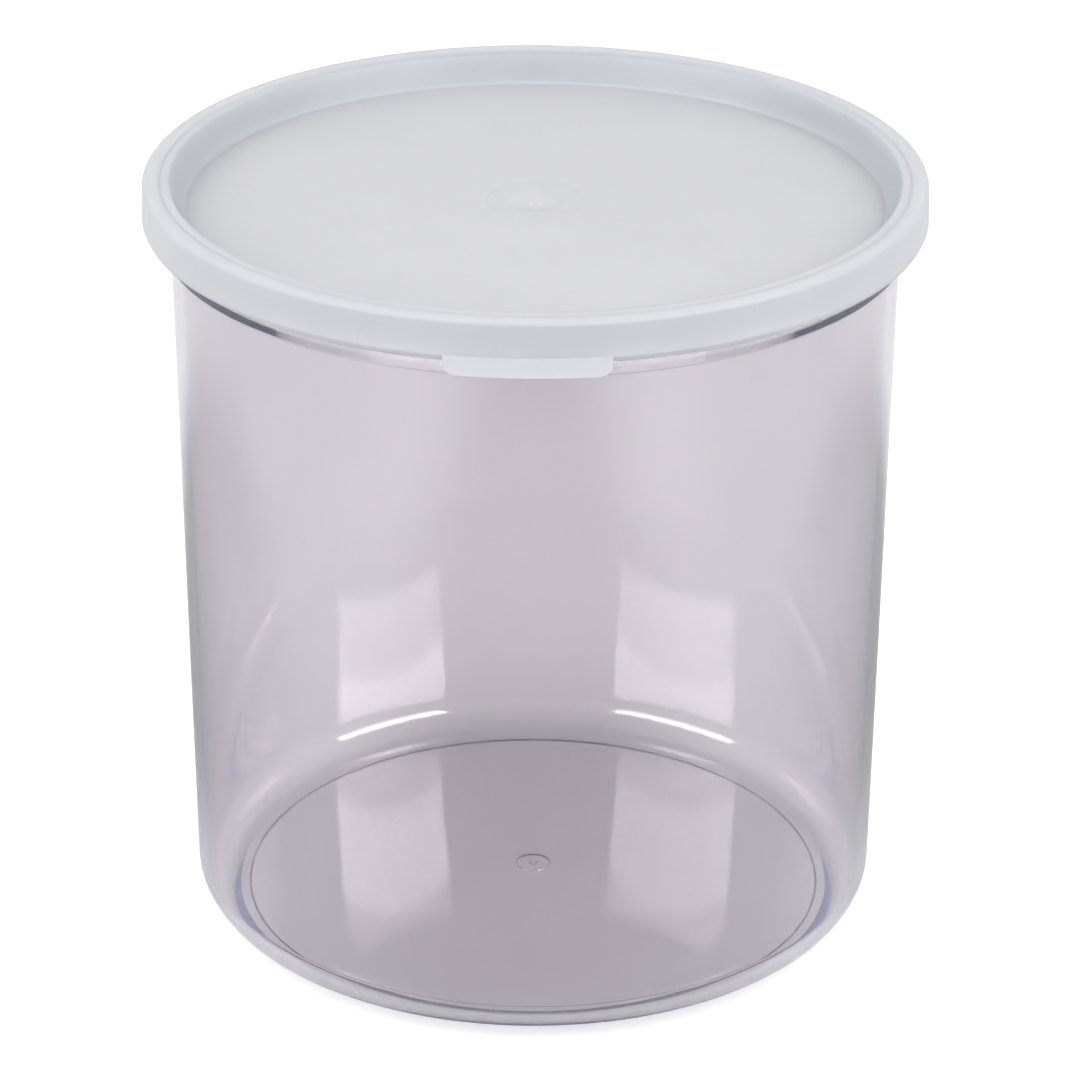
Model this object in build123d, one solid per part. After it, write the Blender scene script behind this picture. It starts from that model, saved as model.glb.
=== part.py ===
"""A round, clear crock for proofing dough, with the translucent lid that snaps over its rim.

The container is one injection moulding of clear polycarbonate and the lid one of soft polyethylene.
Both are turned about the Z axis. The container stands on the plane z = 0, and the lid's pull tab
faces -Y. All lengths are millimetres and all angles are degrees.
"""
from build123d import *
import math
import os

# Container: wall and floor
body_height = 169.9
wall_radius = 75.7
wall_draft = 0.88
wall = 2.2
corner_radius = 8.5
inner_corner_radius = 7.5
floor_thickness = 2.2
floor_land = 3.0

# Container: the ring that it stands on, the slope from it to the wall, and the shallow dome inside it
foot_inset = 9.0
foot_slope = 30.0
foot_width = 2.3
foot_recess = 1.0
foot_edge_radius = 0.4
foot_root_radius = 0.3
floor_rise = 1.6

# Container: the gate mark under the floor
gate_radius = 3.9
gate_depth = 0.5
gate_nub_radius = 0.9
gate_nub_height = 0.3

# Container: the thick rim band, and the bead on it that the lid snaps over
band_height = 12.4
band_step = 1.95
band_root_radius = 0.8
band_edge_radius = 0.6
bead_height = 4.8
bead_step = 1.4
bead_slope = 0.8
bead_root_radius = 0.5
bead_edge_radius = 0.7
rim_edge_radius = 0.9
rim_inner_edge_radius = 0.5

# Container: the mouth, which opens out towards the top of the rim
rim_width = 1.8
lead_in_depth = 13.8
lead_in_blend_radius = 3.0

# Lid: panel, leaning recess wall, and the plug that reaches below the panel
panel_thickness = 1.25
recess_depth = 6.5
recess_lean = 24.8
recess_foot_radius = 0.8
lid_wall = 1.1
plug_depth = 3.6
plug_join_depth = 1.8
plug_edge_radius = 0.4
plug_root_radius = 0.8

# Lid: crown over the rim
crown_thickness = 1.2
crown_rise = 0.5
crown_fall = 0.2
crown_radius = 6.0
crown_inner_edge_radius = 0.8
crown_outer_edge_radius = 1.2
channel_edge_radius = 0.5

# Lid: skirt with its inward snap bead and the thin lip at its foot
skirt_thickness = 1.7
skirt_flare = 0.2
skirt_below_bead = 3.25
snap_step = 0.6
snap_height = 1.4
snap_slope = 0.8
snap_lead_in = 0.9
snap_edge_radius = 0.4
lip_height = 1.1
lip_step = 0.3
lip_edge_radius = 0.8

# Lid: pull tab at the front of the skirt
tab_width = 35.0
tab_length = 4.1
tab_slope = 51.0
tab_thickness = 1.2
tab_root = 0.6
tab_above_lip = 0.4
tab_corner_radius = 3.0
tab_edge_radius = 0.3
tab_turn = 1.0

# Lid: the dished gate mark in the middle of the panel, on its low round pad
dish_radius = 6.2
dish_depth = 0.7
dish_nub_radius = 0.6
dish_nub_height = 0.3
dish_pad_radius = 10.3
dish_pad_height = 0.15

# Clearances between the lid and the container
plug_clearance = 0.4
snap_clearance = 0.3

# How far a cutter or a joined piece runs past the surface that it meets
overrun = 1.0


def wall_outside(z):
    """Outer radius of the container's drafted wall at height z."""
    return wall_radius + z * math.tan(math.radians(wall_draft))


def wall_inside(z):
    """Inner radius of the container's drafted wall at height z."""
    return wall_outside(z) - wall


# Where the rim band and its bead lie
band_bottom = body_height - band_height
band_radius = wall_outside(band_bottom) + band_step
bead_bottom = body_height - bead_height
bead_radius = band_radius + bead_step

# Where the lid lies on the rim
shoulder = body_height + crown_thickness
panel_top = shoulder - recess_depth
panel_bottom = panel_top - panel_thickness
plug_bottom = panel_top - plug_depth
plug_radius = wall_inside(plug_bottom) - plug_clearance
skirt_bottom = bead_bottom - skirt_below_bead
snap_radius = bead_radius + snap_clearance
skirt_inside = snap_radius + snap_step
skirt_outside = skirt_inside + skirt_thickness
lip_top = skirt_bottom + lip_height

# The leaning wall has two parallel faces, and its outer one meets the plug at plug_join_depth
lean = math.tan(math.radians(recess_lean))
across = 1 / math.cos(math.radians(recess_lean))
plug_join = panel_top - plug_join_depth
recess_radius = plug_radius + plug_join_depth * lean - lid_wall * across


def recess_outside(z):
    """Radius of the outer face of the lid's leaning recess wall at height z."""
    return plug_radius + (z - plug_join) * lean


def turned(corners, *closing):
    """Turns an outline about the Z axis.

    corners lists the radius, height and rounding of each corner along the outline, and closing lists
    the edges that lead from its last corner back to its first.
    """
    points = [(radius, height) for radius, height, rounding in corners]
    roundings = [rounding for radius, height, rounding in corners[1:-1]]
    with BuildPart() as part:
        with BuildSketch(Plane.XZ):
            with BuildLine():
                FilletPolyline(*points, radius=roundings)
                for edge in closing:
                    add(edge)
            make_face()
        revolve(axis=Axis.Z)
    return part.part


def disc(radius, bottom, top):
    """An upright disc about the Z axis."""
    centred_on_foot = (Align.CENTER, Align.CENTER, Align.MIN)
    return Pos(0, 0, bottom) * Cylinder(radius, top - bottom, align=centred_on_foot)


def dish(radius, depth, z, above):
    """What fills a spherical dish of this radius and depth sunk from height z, carried on above z."""
    ball = (radius ** 2 + depth ** 2) / (2 * depth)
    return (Pos(0, 0, z - depth + ball) * Sphere(ball)) & disc(radius, z - depth, z + above)


def make_container():
    """The container: a flat ring to stand on, a drafted wall, and a thick rim with a flared mouth."""
    foot_outside = wall_radius - foot_inset
    foot_inside = foot_outside - foot_width
    slope = math.tan(math.radians(foot_slope))
    draft = math.tan(math.radians(wall_draft))
    slope_top = foot_inset * slope / (1 - slope * draft)
    recess_edge = foot_inside - foot_root_radius - floor_land
    floor_top = foot_recess + floor_thickness
    floor_edge = wall_inside(floor_top) - inner_corner_radius - floor_land
    lead_in_start = body_height - lead_in_depth
    corners = [
        (recess_edge, foot_recess, 0),
        (foot_inside, foot_recess, foot_root_radius),
        (foot_inside, 0, foot_edge_radius),
        (foot_outside, 0, foot_edge_radius),
        (wall_outside(slope_top), slope_top, corner_radius),
        (wall_outside(band_bottom), band_bottom, band_root_radius),
        (band_radius, band_bottom, band_edge_radius),
        (band_radius, bead_bottom - bead_slope, bead_root_radius),
        (bead_radius, bead_bottom, bead_edge_radius),
        (bead_radius, body_height, rim_edge_radius),
        (bead_radius - rim_width, body_height, rim_inner_edge_radius),
        (wall_inside(lead_in_start), lead_in_start, lead_in_blend_radius),
        (wall_inside(floor_top), floor_top, inner_corner_radius),
        (floor_edge, floor_top, 0),
    ]
    top_of_floor = (0, floor_top + floor_rise)
    under_floor = (0, foot_recess + floor_rise)
    container = turned(
        corners,
        TangentArc(top_of_floor, (floor_edge, floor_top), tangent=(1, 0)),
        Line(top_of_floor, under_floor),
        TangentArc(under_floor, (recess_edge, foot_recess), tangent=(1, 0)),
    )
    gate_top = foot_recess + floor_rise + gate_depth
    container -= disc(gate_radius, -overrun, gate_top)
    return container + disc(gate_nub_radius, gate_top - gate_nub_height, gate_top + overrun)


def make_lid_shell():
    """The lid without its tab and gate mark: panel, plug, recess wall, crown and skirt."""
    crown_inside = recess_radius + recess_depth * lean
    crown_outside = skirt_outside - skirt_flare
    snap_top = skirt_bottom + snap_lead_in + snap_height
    lip_outside = skirt_outside - lip_step
    corners = [
        (0, panel_top, 0),
        (recess_radius, panel_top, recess_foot_radius),
        (crown_inside, shoulder, crown_inner_edge_radius),
        ((crown_inside + crown_outside) / 2, shoulder + crown_rise, crown_radius),
        (crown_outside, shoulder - crown_fall, crown_outer_edge_radius),
        (skirt_outside, lip_top, 0),
        (lip_outside, lip_top, 0),
        (lip_outside, skirt_bottom, lip_edge_radius),
        (skirt_inside, skirt_bottom, snap_edge_radius),
        (snap_radius, skirt_bottom + snap_lead_in, snap_edge_radius),
        (snap_radius, snap_top, snap_edge_radius),
        (skirt_inside, snap_top + snap_slope, snap_edge_radius),
        (skirt_inside, body_height, channel_edge_radius),
        (recess_outside(body_height), body_height, channel_edge_radius),
        (plug_radius, plug_join, recess_foot_radius),
        (plug_radius, plug_bottom, plug_edge_radius),
        (plug_radius - lid_wall, plug_bottom, plug_edge_radius),
        (plug_radius - lid_wall, panel_bottom, plug_root_radius),
        (0, panel_bottom, 0),
    ]
    return turned(corners, Line((0, panel_bottom), (0, panel_top)))


def make_tab():
    """The pull tab: a plate that slopes out and down from the skirt, with its corners and edges rounded."""
    along = Vector(math.cos(math.radians(tab_slope)), -math.sin(math.radians(tab_slope)))
    inward = Vector(along.Y, -along.X)
    start = Vector(skirt_outside, lip_top + tab_above_lip)
    root = start - along * tab_root
    end = start + along * tab_length
    under = inward * tab_thickness
    section = Plane.XZ * make_face(Polyline(root, end, end + under, root + under, close=True))
    arc = 2 * math.degrees(math.asin(tab_width / 2 / end.X))
    tab = revolve(section, axis=Axis.Z, revolution_arc=arc)
    corners = tab.edges().filter_by(GeomType.LINE).sort_by(Axis.Z)[:2]
    tab = fillet(corners, tab_corner_radius)
    buried = tab.faces().sort_by(Axis.Z)[-1].edges()
    tab = fillet([edge for edge in tab.edges() if edge not in buried], tab_edge_radius)
    return Rot(0, 0, -90 - tab_turn - arc / 2) * tab


def make_lid():
    """The lid with its pull tab, and the gate mark on its low pad in the middle of the panel."""
    pad_top = panel_top + dish_pad_height
    lid = make_lid_shell() + make_tab()
    lid += disc(dish_pad_radius, panel_top - panel_thickness / 2, pad_top)
    lid += dish(dish_radius, dish_depth, panel_bottom, panel_thickness / 2)
    lid -= dish(dish_radius, dish_depth, pad_top, overrun)
    nub_foot = pad_top - dish_depth
    return lid + disc(dish_nub_radius, nub_foot - panel_thickness / 2, nub_foot + dish_nub_height)


parts = {"container": make_container(), "lid": make_lid()}
os.makedirs("parts", exist_ok=True)
for name, shape in parts.items():
    shape.label = name
    export_step(shape, f"parts/{name}.step")
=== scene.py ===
"""Looks of the dough proofing container: fine turned meshes, materials, lights and camera."""
import math

import bmesh
import bpy
from mathutils import Matrix, Vector


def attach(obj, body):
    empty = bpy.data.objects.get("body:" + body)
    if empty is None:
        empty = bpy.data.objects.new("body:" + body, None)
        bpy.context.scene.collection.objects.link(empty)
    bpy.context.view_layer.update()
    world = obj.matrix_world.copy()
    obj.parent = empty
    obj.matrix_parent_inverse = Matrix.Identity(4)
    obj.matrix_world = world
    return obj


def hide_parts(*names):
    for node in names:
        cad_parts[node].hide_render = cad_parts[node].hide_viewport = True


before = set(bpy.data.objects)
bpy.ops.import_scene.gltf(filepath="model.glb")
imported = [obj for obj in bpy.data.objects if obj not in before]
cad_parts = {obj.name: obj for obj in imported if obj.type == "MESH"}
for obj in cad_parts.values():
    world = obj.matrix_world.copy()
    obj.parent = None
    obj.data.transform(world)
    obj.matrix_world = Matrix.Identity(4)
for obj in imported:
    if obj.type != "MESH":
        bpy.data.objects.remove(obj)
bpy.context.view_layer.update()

MM = 0.001

# Sizes in millimetres, the same as in the part's source
body_height = 169.9
wall_radius = 75.7
wall_draft = math.tan(math.radians(0.88))
wall = 2.2
corner_radius = 8.5
inner_corner_radius = 7.5
floor_thickness = 2.2
floor_land = 3.0
foot_inset = 9.0
foot_slope = math.tan(math.radians(30.0))
foot_width = 2.3
foot_recess = 1.0
foot_edge_radius = 0.4
foot_root_radius = 0.3
floor_rise = 1.6
gate_radius = 3.9
gate_depth = 0.5
gate_nub_radius = 0.9
gate_nub_height = 0.3
band_height = 12.4
band_step = 1.95
band_root_radius = 0.8
band_edge_radius = 0.6
bead_height = 4.8
bead_step = 1.4
bead_slope = 0.8
bead_root_radius = 0.5
bead_edge_radius = 0.7
rim_edge_radius = 0.9
rim_inner_edge_radius = 0.5
rim_width = 1.8
lead_in_depth = 13.8
lead_in_blend_radius = 3.0
panel_thickness = 1.25
recess_depth = 6.5
lean = math.tan(math.radians(24.8))
across = 1 / math.cos(math.radians(24.8))
recess_foot_radius = 0.8
lid_wall = 1.1
plug_depth = 3.6
plug_join_depth = 1.8
plug_edge_radius = 0.4
plug_root_radius = 0.8
crown_thickness = 1.2
crown_rise = 0.5
crown_fall = 0.2
crown_radius = 6.0
crown_inner_edge_radius = 0.8
crown_outer_edge_radius = 1.2
channel_edge_radius = 0.5
skirt_thickness = 1.7
skirt_flare = 0.2
skirt_below_bead = 3.25
snap_step = 0.6
snap_height = 1.4
snap_slope = 0.8
snap_lead_in = 0.9
snap_edge_radius = 0.4
lip_height = 1.1
lip_step = 0.3
lip_edge_radius = 0.8
tab_width = 35.0
tab_length = 4.1
tab_slope = math.radians(51.0)
tab_thickness = 1.2
tab_root = 0.6
tab_above_lip = 0.4
tab_corner_radius = 3.0
tab_edge_radius = 0.3
tab_turn = math.radians(1.0)
dish_radius = 6.2
dish_depth = 0.7
dish_nub_radius = 0.6
dish_nub_height = 0.3
dish_pad_radius = 10.3
dish_pad_height = 0.15
plug_clearance = 0.4
snap_clearance = 0.3

# Roundings and steps of edges in millimetres that only these fine meshes have
gate_edge_radius = 0.15
gate_nub_edge_radius = 0.12
lip_root_radius = 0.2
skirt_foot_radius = 0.12
dish_nub_edge_radius = 0.15
pad_foot_spread = 0.3
pad_foot_radius = 1.2
pad_edge_radius = 0.6

# How finely the outlines, the turned meshes and the tab are divided
TURN_STEPS = 384
ARC_STEP = math.radians(9)
LEAST_ARC_STEPS = 3
DOME_STEPS = 12
TAB_CORNER_STEPS = 10
TAB_EDGE_STEPS = 5
TAB_CUTS = 44

# The fold in radians at which the tab's edges are rounded, and the angle at which they stay sharp
TAB_FOLD = 1
TAB_SHARP = math.radians(40)

# Radius below which a point of an outline is on the axis, length below which a run has no faces,
# and the decimal places to which two points of an outline are the same, all in millimetres
ON_AXIS = 1e-4
NO_LENGTH = 1e-5
SAME_PLACES = 5

# Noise: octaves, and the range of its values that is stretched over a material's whole variation
NOISE_DETAIL = 3
NOISE_LOW, NOISE_HIGH = 0.35, 0.65
RAMP_LOW, RAMP_HIGH = 0.3, 0.7

# Clear plastic: its two colours, its roughness, a transmission that leaves a slight haze, and the
# colour and density of what light loses on its way inside it
CLEAR_COLOURS = (0.815, 0.777, 0.796), (0.833, 0.795, 0.814)
CLEAR_COLOUR_SCALE = 30
CLEAR_ROUGHNESS = 0.01, 0.035
CLEAR_ROUGHNESS_SCALE = 90
CLEAR_TRANSMISSION = 0.985
CLEAR_IOR = 1.585
ABSORPTION_COLOUR = (0.16, 0.34, 0.74, 1)
ABSORPTION_DENSITY = 20

# The lid's colours by radius in millimetres: gate nub, painted white as a highlight; panel; recess
# wall, darker as painted shade; and the ring over the rim, which is double, made lighter as painted
# light
LID_COLOURS_AND_PAINTED_LIGHT = [
    (0.9, (1.00, 1.00, 1.00)),
    (1.6, (0.850, 0.855, 0.880)),
    (74.0, (0.850, 0.855, 0.880)),
    (75.2, (0.785, 0.808, 0.858)),
    (77.2, (0.785, 0.808, 0.858)),
    (78.8, (0.895, 0.915, 0.960)),
    (83.0, (0.920, 0.935, 0.970)),
]
LID_SHADES = 0.99, 1.01
LID_SHADE_SCALE = 40
LID_ROUGHNESS = 0.36
LID_SPECULAR = 0.1
LID_TRANSMISSION = 0.5
LID_IOR = 1.51
LID_COAT = 0.06
LID_COAT_ROUGHNESS = 0.12

# The floor: its size and height in metres, its colours, and how much it glows to the camera, to
# rays through clear plastic and to mirrored rays
FLOOR_SIZE = 12
FLOOR_HEIGHT = -0.0002
FLOOR_COLOURS = (0.60, 0.60, 0.605), (0.62, 0.62, 0.625)
FLOOR_COLOUR_SCALE = 3
FLOOR_LIFT = 0.62
FLOOR_LIFT_THROUGH = 0.42
FLOOR_LIFT_MIRRORED = 0.35

# Painted shade: patches of floor that only mirrored rays see, and see grey, darkening the object's
# reflections
# there: centre in metres, squeeze along Y, the radii where each is full and gone, and its depth
PAINTED_SHADE_PATCHES = [
    ((0, -0.30), 0.75, 0.08, 0.22, 0.95),
    ((-0.20, 0.09), 1.0, 0.09, 0.19, 0.50),
    ((0.20, 0.09), 1.0, 0.09, 0.19, 0.50),
]
PAINTED_SHADE_COLOUR = (0.05, 0.05, 0.05, 1)

# The world's level for diffuse light; to all other rays it is white
WORLD_LEVEL = 0.6

# The lamps' distance from the point that they face, in metres
LAMP_DISTANCE = 1.3
LAMP_AIM = Vector((0, 0, 0.08))

# The camera: place in metres, angles in radians, sensor width in millimetres, and the focal length
# and width of the square frame in pixels
CAMERA_PLACE = (0, -0.9596, 0.5313)
CAMERA_DEPRESSION = 0.43565
CAMERA_YAW = 0.00131
CAMERA_ROLL = 0.00426
CAMERA_SENSOR = 36
FOCAL_PIXELS = 4787.4
FRAME_PIXELS = 1080

# Light is mirrored very many times inside the clear wall before it comes out under the rim
GLOSSY_BOUNCES = 250
MOST_BOUNCES = 300


def wall_outside(z):
    """Outer radius of the container's drafted wall at height z."""
    return wall_radius + z * wall_draft


def wall_inside(z):
    """Inner radius of the container's drafted wall at height z."""
    return wall_outside(z) - wall


band_bottom = body_height - band_height
band_radius = wall_outside(band_bottom) + band_step
bead_bottom = body_height - bead_height
bead_radius = band_radius + bead_step
shoulder = body_height + crown_thickness
panel_top = shoulder - recess_depth
panel_bottom = panel_top - panel_thickness
plug_bottom = panel_top - plug_depth
plug_radius = wall_inside(plug_bottom) - plug_clearance
skirt_bottom = bead_bottom - skirt_below_bead
snap_radius = bead_radius + snap_clearance
skirt_inside = snap_radius + snap_step
skirt_outside = skirt_inside + skirt_thickness
lip_top = skirt_bottom + lip_height
plug_join = panel_top - plug_join_depth
recess_radius = plug_radius + plug_join_depth * lean - lid_wall * across


def recess_outside(z):
    """Radius of the outer face of the lid's leaning recess wall at height z."""
    return plug_radius + (z - plug_join) * lean


def line(start, end):
    """A straight run of an outline: its points, and the normal to its right at each."""
    run = (Vector(end) - Vector(start)).normalized()
    normal = (run.y, -run.x)
    return [(start, normal), (end, normal)]


def arc(centre, start, end, convex):
    """An arc of an outline about a centre, convex where the solid lies on the centre's side."""
    first, last = Vector(start) - Vector(centre), Vector(end) - Vector(centre)
    turn = first.angle_signed(last) * -1
    steps = max(LEAST_ARC_STEPS, math.ceil(abs(turn) / ARC_STEP))
    points = []
    for i in range(steps + 1):
        angle = turn * i / steps
        c, s = math.cos(angle), math.sin(angle)
        spoke = Vector((first.x * c - first.y * s, first.x * s + first.y * c))
        normal = spoke.normalized() * (1 if convex else -1)
        points.append(((centre[0] + spoke.x, centre[1] + spoke.y), tuple(normal)))
    return points


def outline(corners):
    """Straight runs and rounded corners through (radius, height, rounding), solid on the left."""
    runs = []
    here = corners[0][:2]
    for before, corner, after in zip(corners, corners[1:], corners[2:]):
        point = Vector(corner[:2])
        back = (Vector(before[:2]) - point).normalized()
        on = (Vector(after[:2]) - point).normalized()
        half = back.angle(on) / 2
        rounding = corner[2]
        if rounding == 0:
            runs.append(line(here, corner[:2]))
            here = corner[:2]
            continue
        reach = rounding / math.tan(half)
        start, end = point + back * reach, point + on * reach
        centre = point + (back + on).normalized() * (rounding / math.sin(half))
        left_turn = (-back).cross(on) > 0
        runs.append(line(here, tuple(start)))
        runs.append(arc(tuple(centre), tuple(start), tuple(end), left_turn))
        here = tuple(end)
    runs.append(line(here, corners[-1][:2]))
    return runs


def dome(start, end, up):
    """An arc of a sphere centred on the axis, from start to end; up where its normal faces up."""
    (r0, z0), (r1, z1) = start, end
    centre = (r1 * r1 + z1 * z1 - r0 * r0 - z0 * z0) / (2 * (z1 - z0))
    radius = math.hypot(r0, z0 - centre)
    side = 1 if z0 > centre else -1
    points = []
    for i in range(DOME_STEPS + 1):
        r = r0 + (r1 - r0) * i / DOME_STEPS
        z = centre + side * math.sqrt(radius * radius - r * r)
        normal = Vector((r, z - centre)).normalized()
        if (normal.y > 0) != up:
            normal = -normal
        points.append(((r, z), tuple(normal)))
    return points


def turned(name, runs):
    """A mesh object turned about Z from an outline's runs, with the outline's own normals."""
    verts, rings = [], {}

    def ring(point):
        key = (round(point[0], SAME_PLACES), round(point[1], SAME_PLACES))
        if key not in rings:
            if key[0] < ON_AXIS:
                rings[key] = [len(verts)] * TURN_STEPS
                verts.append((0, 0, point[1] * MM))
            else:
                rings[key] = list(range(len(verts), len(verts) + TURN_STEPS))
                for c, s in spokes:
                    verts.append((point[0] * c * MM, point[0] * s * MM, point[1] * MM))
        return rings[key]

    spokes = [(math.cos(math.tau * j / TURN_STEPS), math.sin(math.tau * j / TURN_STEPS))
              for j in range(TURN_STEPS)]
    faces, normals = [], []
    for run in runs:
        for (p0, n0), (p1, n1) in zip(run, run[1:]):
            if math.hypot(p1[0] - p0[0], p1[1] - p0[1]) < NO_LENGTH:
                continue
            low, high = ring(p0), ring(p1)
            for j in range(TURN_STEPS):
                k = (j + 1) % TURN_STEPS
                corners = [(low[j], n0, j), (low[k], n0, k), (high[k], n1, k), (high[j], n1, j)]
                if low[j] == low[k]:
                    corners.pop(1)
                if high[j] == high[k]:
                    corners.pop(-1)
                faces.append([corner[0] for corner in corners])
                for vert, normal, spoke in corners:
                    c, s = spokes[spoke]
                    normals.append((normal[0] * c, normal[0] * s, normal[1]))
    mesh = bpy.data.meshes.new(name)
    mesh.from_pydata(verts, [], faces)
    mesh.polygons.foreach_set("use_smooth", [True] * len(faces))
    mesh.normals_split_custom_set(normals)
    mesh.validate()
    piece = bpy.data.objects.new(name, mesh)
    bpy.context.scene.collection.objects.link(piece)
    return piece


def make_container():
    """The container, turned from its closed outline, with the gate mark under its middle."""
    foot_outside = wall_radius - foot_inset
    foot_inside = foot_outside - foot_width
    slope_top = foot_inset * foot_slope / (1 - foot_slope * wall_draft)
    recess_edge = foot_inside - foot_root_radius - floor_land
    floor_top = foot_recess + floor_thickness
    floor_edge = wall_inside(floor_top) - inner_corner_radius - floor_land
    lead_in_start = body_height - lead_in_depth
    gate_top = foot_recess + floor_rise + gate_depth
    nub_foot = gate_top - gate_nub_height
    under_centre = (0, foot_recess + floor_rise)
    under_edge = (recess_edge, foot_recess)
    ball = (recess_edge ** 2 + floor_rise ** 2) / (2 * floor_rise)
    gate_rim = under_centre[1] - ball + math.sqrt(ball ** 2 - gate_radius ** 2)
    gate = [
        (0, nub_foot, 0),
        (gate_nub_radius, nub_foot, gate_nub_edge_radius),
        (gate_nub_radius, gate_top, gate_nub_edge_radius),
        (gate_radius, gate_top, gate_edge_radius),
        (gate_radius, gate_rim, 0),
    ]
    corners = [
        (*under_edge, 0),
        (foot_inside, foot_recess, foot_root_radius),
        (foot_inside, 0, foot_edge_radius),
        (foot_outside, 0, foot_edge_radius),
        (wall_outside(slope_top), slope_top, corner_radius),
        (wall_outside(band_bottom), band_bottom, band_root_radius),
        (band_radius, band_bottom, band_edge_radius),
        (band_radius, bead_bottom - bead_slope, bead_root_radius),
        (bead_radius, bead_bottom, bead_edge_radius),
        (bead_radius, body_height, rim_edge_radius),
        (bead_radius - rim_width, body_height, rim_inner_edge_radius),
        (wall_inside(lead_in_start), lead_in_start, lead_in_blend_radius),
        (wall_inside(floor_top), floor_top, inner_corner_radius),
        (floor_edge, floor_top, 0),
    ]
    runs = outline(gate)
    runs.append(dome((gate_radius, gate_rim), under_edge, False))
    runs += outline(corners)
    runs.append(dome((floor_edge, floor_top), (0, floor_top + floor_rise), True))
    return turned("container_body", runs)


def make_lid():
    """The lid without its tab, turned from its closed outline, with its dished gate mark."""
    crown_inside = recess_radius + recess_depth * lean
    crown_outside = skirt_outside - skirt_flare
    snap_top = skirt_bottom + snap_lead_in + snap_height
    lip_outside = skirt_outside - lip_step
    pad_top = panel_top + dish_pad_height
    dish_foot = pad_top - dish_depth
    ball = (dish_radius ** 2 + dish_depth ** 2) / (2 * dish_depth)
    nub_edge = dish_foot + ball - math.sqrt(ball ** 2 - dish_nub_radius ** 2)
    boss = dome((0, panel_bottom - dish_depth), (dish_radius, panel_bottom), False)
    corners = [
        (dish_radius, panel_bottom, 0),
        (plug_radius - lid_wall, panel_bottom, plug_root_radius),
        (plug_radius - lid_wall, plug_bottom, plug_edge_radius),
        (plug_radius, plug_bottom, plug_edge_radius),
        (plug_radius, plug_join, recess_foot_radius),
        (recess_outside(body_height), body_height, channel_edge_radius),
        (skirt_inside, body_height, channel_edge_radius),
        (skirt_inside, snap_top + snap_slope, snap_edge_radius),
        (snap_radius, snap_top, snap_edge_radius),
        (snap_radius, skirt_bottom + snap_lead_in, snap_edge_radius),
        (skirt_inside, skirt_bottom, snap_edge_radius),
        (lip_outside, skirt_bottom, lip_edge_radius),
        (lip_outside, lip_top, lip_root_radius),
        (skirt_outside, lip_top, skirt_foot_radius),
        (crown_outside, shoulder - crown_fall, crown_outer_edge_radius),
        ((crown_inside + crown_outside) / 2, shoulder + crown_rise, crown_radius),
        (crown_inside, shoulder, crown_inner_edge_radius),
        (recess_radius, panel_top, recess_foot_radius),
        (dish_pad_radius + pad_foot_spread, panel_top, pad_foot_radius),
        (dish_pad_radius, pad_top, pad_edge_radius),
        (dish_radius, pad_top, 0),
    ]
    dished = dome((dish_radius, pad_top), (dish_nub_radius, nub_edge), True)
    nub = [
        (dish_nub_radius, nub_edge, 0),
        (dish_nub_radius, dish_foot + dish_nub_height, dish_nub_edge_radius),
        (0, dish_foot + dish_nub_height, 0),
    ]
    return turned("lid_shell", [boss] + outline(corners) + [dished] + outline(nub))


def make_tab():
    """The pull tab: a plate with rounded corners, bent round the skirt and sloped.

    It comes out as a doubled sheet without thickness, as the plate is solidified before its face
    has a normal.
    """
    down = Vector((math.cos(tab_slope), -math.sin(tab_slope)))
    under = Vector((down.y, -down.x))
    start = Vector((skirt_outside, lip_top + tab_above_lip))
    half = tab_width / 2
    corner = tab_corner_radius
    rim = [(-half, -tab_root), (-half, tab_length - corner)]
    for i in range(1, TAB_CORNER_STEPS + 1):
        a = math.pi / 2 * i / TAB_CORNER_STEPS
        rim.append((-half + corner - corner * math.cos(a),
                    tab_length - corner + corner * math.sin(a)))
    rim += [(-s, t) for s, t in reversed(rim)]
    mesh = bmesh.new()
    top = mesh.faces.new([mesh.verts.new((s, t, 0)) for s, t in rim])
    bmesh.ops.solidify(mesh, geom=[top], thickness=tab_thickness)
    mesh.normal_update()
    rounded = [edge for edge in mesh.edges if edge.calc_face_angle(0) > TAB_FOLD
               and not all(vert.co.y < -tab_root / 2 for vert in edge.verts)]
    bmesh.ops.bevel(mesh, geom=rounded, offset=tab_edge_radius, segments=TAB_EDGE_STEPS,
                    profile=0.5, affect="EDGES", clamp_overlap=True)
    for i in range(1, TAB_CUTS):
        place = (-half + tab_width * i / TAB_CUTS, 0, 0)
        bmesh.ops.bisect_plane(mesh, geom=mesh.verts[:] + mesh.edges[:] + mesh.faces[:],
                               plane_co=place, plane_no=(1, 0, 0))
    end_radius = (start + down * tab_length).x
    for vert in mesh.verts:
        place = start + down * vert.co.y + under * abs(vert.co.z)
        angle = -math.pi / 2 - tab_turn + vert.co.x / end_radius
        vert.co = (place.x * math.cos(angle) * MM, place.x * math.sin(angle) * MM, place.y * MM)
    bmesh.ops.recalc_face_normals(mesh, faces=mesh.faces[:])
    data = bpy.data.meshes.new("lid_tab")
    mesh.to_mesh(data)
    mesh.free()
    data.polygons.foreach_set("use_smooth", [True] * len(data.polygons))
    data.set_sharp_from_angle(angle=TAB_SHARP)
    piece = bpy.data.objects.new("lid_tab", data)
    bpy.context.scene.collection.objects.link(piece)
    weighted = piece.modifiers.new("weighted", "WEIGHTED_NORMAL")
    weighted.keep_sharp = True
    return piece


def node_material(name):
    """A material with its nodes, its links and its main shader."""
    material = bpy.data.materials.new(name)
    material.use_nodes = True
    nodes, links = material.node_tree.nodes, material.node_tree.links
    return material, nodes, links, nodes["Principled BSDF"]


def feed(links, slot, value):
    """Sets a socket to a number or vector, or links another socket to it."""
    if isinstance(value, (int, float, tuple)):
        slot.default_value = value
    else:
        links.new(value, slot)


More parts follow.
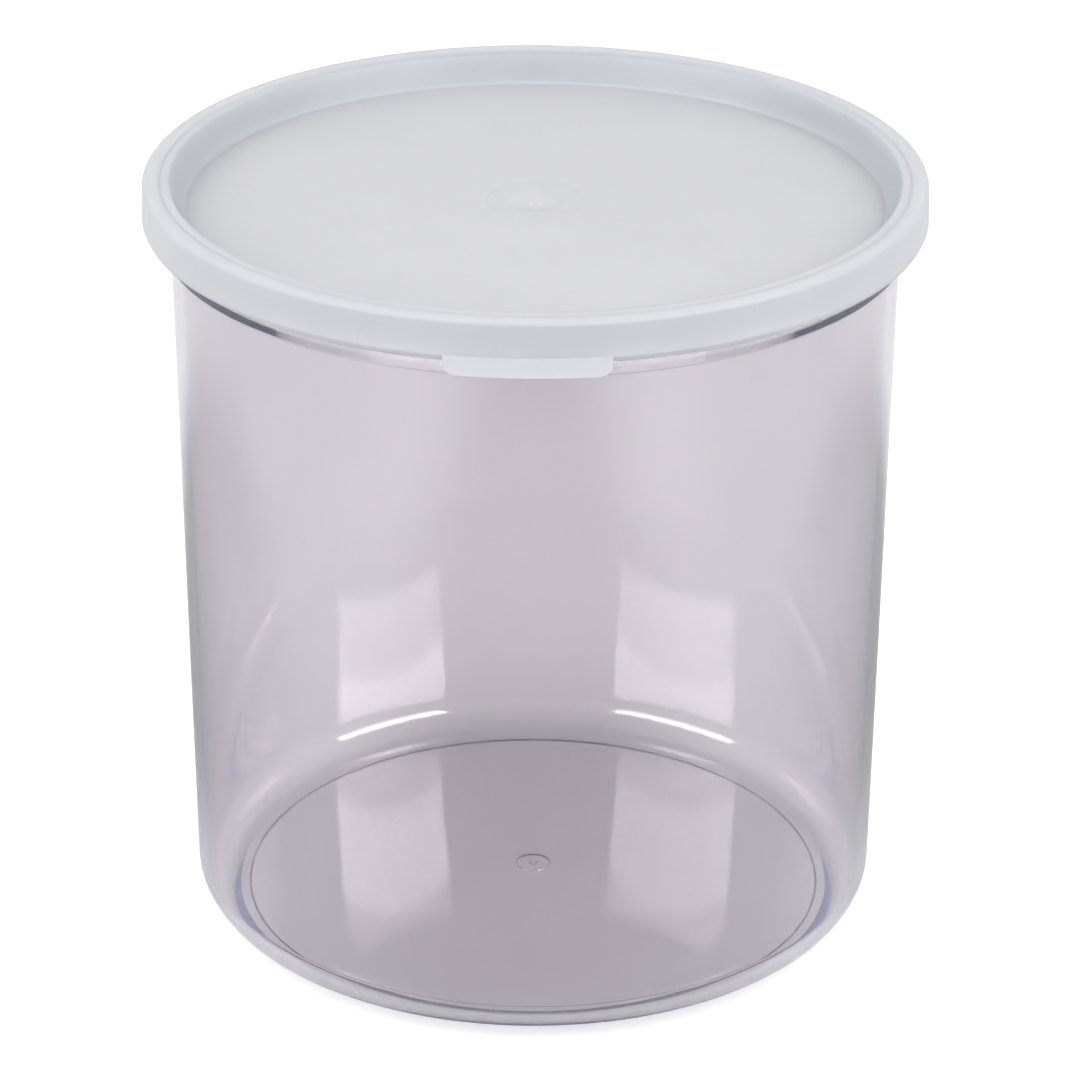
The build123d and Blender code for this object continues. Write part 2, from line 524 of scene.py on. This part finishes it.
def math_node(nodes, links, operation, *values):
    """What a math node makes of numbers or sockets."""
    step = nodes.new("ShaderNodeMath")
    step.operation = operation
    for slot, value in zip(step.inputs, values):
        feed(links, slot, value)
    return step.outputs[0]


def vector_node(nodes, links, operation, *values):
    """The outputs of a vector math node fed with vectors or sockets."""
    step = nodes.new("ShaderNodeVectorMath")
    step.operation = operation
    for slot, value in zip((slot for slot in step.inputs if not slot.is_unavailable), values):
        feed(links, slot, value)
    return step.outputs


def object_place(nodes):
    """The place in the object's own space, in metres."""
    return nodes.new("ShaderNodeTexCoord").outputs["Object"]


def noise(nodes, links, scale):
    """A noise texture in object space, its scale in cycles per metre."""
    texture = nodes.new("ShaderNodeTexNoise")
    texture.inputs["Scale"].default_value = scale
    texture.inputs["Detail"].default_value = NOISE_DETAIL
    links.new(object_place(nodes), texture.inputs["Vector"])
    return texture.outputs["Fac"]


def map_range(nodes, links, source, start, end, low, high):
    """A node that maps what it is fed from the range start to end to the range low to high."""
    remap = nodes.new("ShaderNodeMapRange")
    for name, value in {"From Min": start, "From Max": end, "To Min": low, "To Max": high}.items():
        remap.inputs[name].default_value = value
    links.new(source, remap.inputs["Value"])
    return remap


def spread(nodes, links, scale, low, high):
    """A value that varies from low to high with a noise of this scale."""
    source = noise(nodes, links, scale)
    return map_range(nodes, links, source, NOISE_LOW, NOISE_HIGH, low, high).outputs["Result"]


def colour_ramp(nodes, links, source, stops):
    """The colour at the place in the stops, each a position and a colour, that the source gives."""
    ramp = nodes.new("ShaderNodeValToRGB")
    elements = ramp.color_ramp.elements
    for element, (position, colour) in zip(elements, (stops[0], stops[-1])):
        element.position, element.color = position, (*colour, 1)
    for position, colour in stops[1:-1]:
        elements.new(position).color = (*colour, 1)
    links.new(source, ramp.inputs["Fac"])
    return ramp.outputs["Color"]


def cloudy(nodes, links, scale, colours):
    """A colour that varies between two with a noise of this scale."""
    stops = list(zip((RAMP_LOW, RAMP_HIGH), colours))
    return colour_ramp(nodes, links, noise(nodes, links, scale), stops)


def clear_material():
    """Clear, faintly smoky plastic with a slight haze, in which light that goes far turns blue."""
    material, nodes, links, shader = node_material("clear_polycarbonate")
    links.new(cloudy(nodes, links, CLEAR_COLOUR_SCALE, CLEAR_COLOURS), shader.inputs["Base Color"])
    roughness = spread(nodes, links, CLEAR_ROUGHNESS_SCALE, *CLEAR_ROUGHNESS)
    links.new(roughness, shader.inputs["Roughness"])
    shader.inputs["Transmission Weight"].default_value = CLEAR_TRANSMISSION
    shader.inputs["IOR"].default_value = CLEAR_IOR
    absorb = nodes.new("ShaderNodeVolumeAbsorption")
    absorb.inputs["Color"].default_value = ABSORPTION_COLOUR
    absorb.inputs["Density"].default_value = ABSORPTION_DENSITY
    links.new(absorb.outputs["Volume"], nodes["Material Output"].inputs["Volume"])
    return material


def milky_material():
    """Milky plastic, half transmitting, its colour set by the distance from the lid's axis, with a
    painted highlight on the gate nub, painted shade on the recess wall and painted light on the
    ring.
    """
    material, nodes, links, shader = node_material("translucent_polyethylene")
    flat = vector_node(nodes, links, "MULTIPLY", object_place(nodes), (1, 1, 0))
    reach = vector_node(nodes, links, "LENGTH", flat["Vector"])
    share = math_node(nodes, links, "DIVIDE", reach["Value"], skirt_outside * MM)
    # The ramp holds the lid's own colours and also the painted highlight, shade and light
    stops = [(radius / skirt_outside, colour) for radius, colour in LID_COLOURS_AND_PAINTED_LIGHT]
    colour = colour_ramp(nodes, links, share, stops)
    shade = spread(nodes, links, LID_SHADE_SCALE, *LID_SHADES)
    tinted = vector_node(nodes, links, "SCALE", colour, shade)
    links.new(tinted["Vector"], shader.inputs["Base Color"])
    shader.inputs["Roughness"].default_value = LID_ROUGHNESS
    shader.inputs["Specular IOR Level"].default_value = LID_SPECULAR
    shader.inputs["Transmission Weight"].default_value = LID_TRANSMISSION
    shader.inputs["IOR"].default_value = LID_IOR
    shader.inputs["Coat Weight"].default_value = LID_COAT
    shader.inputs["Coat Roughness"].default_value = LID_COAT_ROUGHNESS
    return material


def make_floor():
    """A white floor, darker to mirrored rays, which also see patches of painted shade round the
    object.
    """
    bpy.ops.mesh.primitive_plane_add(size=FLOOR_SIZE, location=(0, 0, FLOOR_HEIGHT))
    plane = bpy.context.object
    plane.name = "floor"
    material, nodes, links, shader = node_material("floor")
    nodes.remove(shader)
    diffuse = nodes.new("ShaderNodeBsdfDiffuse")
    links.new(cloudy(nodes, links, FLOOR_COLOUR_SCALE, FLOOR_COLOURS), diffuse.inputs["Color"])
    path = nodes.new("ShaderNodeLightPath").outputs
    mirrored = math_node(nodes, links, "MINIMUM", path["Glossy Depth"], 1)
    straight = math_node(nodes, links, "SUBTRACT", 1, mirrored)
    through = math_node(nodes, links, "MULTIPLY", path["Is Transmission Ray"], straight)
    through = math_node(nodes, links, "MULTIPLY", through, FLOOR_LIFT_THROUGH)
    bounced = math_node(nodes, links, "MULTIPLY_ADD", mirrored, FLOOR_LIFT_MIRRORED, through)
    lift = math_node(nodes, links, "MULTIPLY_ADD", path["Is Camera Ray"], FLOOR_LIFT, bounced)
    glow = nodes.new("ShaderNodeEmission")
    links.new(lift, glow.inputs["Strength"])
    both = nodes.new("ShaderNodeAddShader")
    links.new(diffuse.outputs[0], both.inputs[0])
    links.new(glow.outputs[0], both.inputs[1])
    place = object_place(nodes)
    # Painted shade: each patch greys the floor that mirrored rays see near the object
    painted_shade = 0
    for (x, y), squeeze, full, gone, depth in PAINTED_SHADE_PATCHES:
        squeezed = vector_node(nodes, links, "MULTIPLY", place, (1, squeeze, 1))
        reach = vector_node(nodes, links, "DISTANCE", squeezed["Vector"], (x, y * squeeze, 0))
        fade = map_range(nodes, links, reach["Value"], gone, full, 0, depth)
        fade.interpolation_type = "SMOOTHSTEP"
        painted_shade = math_node(nodes, links, "MAXIMUM", fade.outputs["Result"], painted_shade)
    painted_shade_bsdf = nodes.new("ShaderNodeBsdfDiffuse")
    painted_shade_bsdf.inputs["Color"].default_value = PAINTED_SHADE_COLOUR
    mix = nodes.new("ShaderNodeMixShader")
    links.new(math_node(nodes, links, "MULTIPLY", mirrored, painted_shade), mix.inputs["Fac"])
    links.new(both.outputs[0], mix.inputs[1])
    links.new(painted_shade_bsdf.outputs[0], mix.inputs[2])
    links.new(mix.outputs[0], nodes["Material Output"].inputs["Surface"])
    plane.data.materials.append(material)


def make_world():
    """White to camera, mirrored and refracted rays, and a plain level of light to diffuse ones."""
    world = bpy.data.worlds.new("studio")
    bpy.context.scene.world = world
    world.use_nodes = True
    nodes, links = world.node_tree.nodes, world.node_tree.links
    diffuse_ray = nodes.new("ShaderNodeLightPath").outputs["Is Diffuse Ray"]
    plain = math_node(nodes, links, "MULTIPLY", diffuse_ray, WORLD_LEVEL - 1)
    links.new(math_node(nodes, links, "ADD", plain, 1), nodes["Background"].inputs["Strength"])
    nodes["Background"].inputs["Color"].default_value = (1, 1, 1, 1)


def softbox(name, azimuth, elevation, width, height, power, mirrored, pieces):
    """A rectangular lamp facing the object, seen by mirrored and refracted rays or by diffuse ones.

    Its azimuth is from the front, anticlockwise from above. Where pieces are given, it lights only
    them.
    """
    a, e = math.radians(azimuth - 90), math.radians(elevation)
    spoke = Vector((math.cos(a) * math.cos(e), math.sin(a) * math.cos(e), math.sin(e)))
    place = LAMP_AIM + LAMP_DISTANCE * spoke
    lamp = bpy.data.lights.new(name, "AREA")
    lamp.shape = "RECTANGLE"
    lamp.size, lamp.size_y = width, height
    lamp.energy = power
    holder = bpy.data.objects.new(name, lamp)
    holder.location = place
    holder.rotation_euler = (LAMP_AIM - place).to_track_quat("-Z", "Y").to_euler()
    holder.visible_diffuse = not mirrored
    holder.visible_glossy = mirrored
    holder.visible_transmission = mirrored
    if pieces:
        lit = bpy.data.collections.new(name + "_lights")
        for piece in pieces:
            lit.objects.link(piece)
        holder.light_linking.receiver_collection = lit
    bpy.context.scene.collection.objects.link(holder)


def make_camera():
    """The camera of the photo's view."""
    level = math.cos(CAMERA_DEPRESSION)
    forward = Vector((math.sin(CAMERA_YAW) * level, math.cos(CAMERA_YAW) * level,
                      -math.sin(CAMERA_DEPRESSION)))
    right = Vector((math.cos(CAMERA_YAW), -math.sin(CAMERA_YAW), 0))
    up = right.cross(forward)
    turned_right = right * math.cos(CAMERA_ROLL) + up * math.sin(CAMERA_ROLL)
    turned_up = up * math.cos(CAMERA_ROLL) - right * math.sin(CAMERA_ROLL)
    data = bpy.data.cameras.new("camera")
    data.sensor_width = CAMERA_SENSOR
    data.lens = CAMERA_SENSOR * FOCAL_PIXELS / FRAME_PIXELS
    camera = bpy.data.objects.new("camera", data)
    axes = Matrix((turned_right, turned_up, -forward)).transposed().to_4x4()
    camera.matrix_world = Matrix.Translation(CAMERA_PLACE) @ axes
    bpy.context.scene.collection.objects.link(camera)
    bpy.context.scene.camera = camera


container = make_container()
lid = make_lid()
tab = make_tab()
clear = clear_material()
milky = milky_material()
container.data.materials.append(clear)
lid.data.materials.append(milky)
tab.data.materials.append(milky)
for node, material in (("container", clear), ("lid", milky)):
    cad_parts[node].data.materials.clear()
    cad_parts[node].data.materials.append(material)

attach(container, "container")
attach(lid, "lid")
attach(tab, "lid")
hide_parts("container")
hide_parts("lid")

make_floor()
make_world()
# Azimuth and elevation in degrees, width and height in metres, power in watts, whether mirrored and
# refracted rays see the lamp and diffuse ones don't, and the pieces that alone it lights
for lamp in (
    ("softbox_left", -56.7, 28.2, 1.08, 0.405, 13.8, True, [container]),
    ("softbox_right", 57.4, 28.2, 0.95, 0.405, 12.2, True, [container]),
    ("upper_left", -56.7, 30.1, 1.08, 0.177, 5.2, True, [container]),
    ("upper_right", 57.4, 30.1, 0.95, 0.177, 8.0, True, [container]),
    ("lid_left", -56.7, 30, 1.08, 0.36, 4, True, [lid, tab]),
    ("lid_right", 57.4, 30, 0.95, 0.36, 4, True, [lid, tab]),
    ("key_left", -60, 38, 1.0, 0.9, 8.5, False, []),
    ("key_right", 60, 38, 1.0, 0.9, 8.5, False, []),
):
    softbox(*lamp)
make_camera()
bpy.context.scene.view_settings.view_transform = "Standard"
bpy.context.scene.cycles.glossy_bounces = GLOSSY_BOUNCES
bpy.context.scene.cycles.max_bounces = MOST_BOUNCES
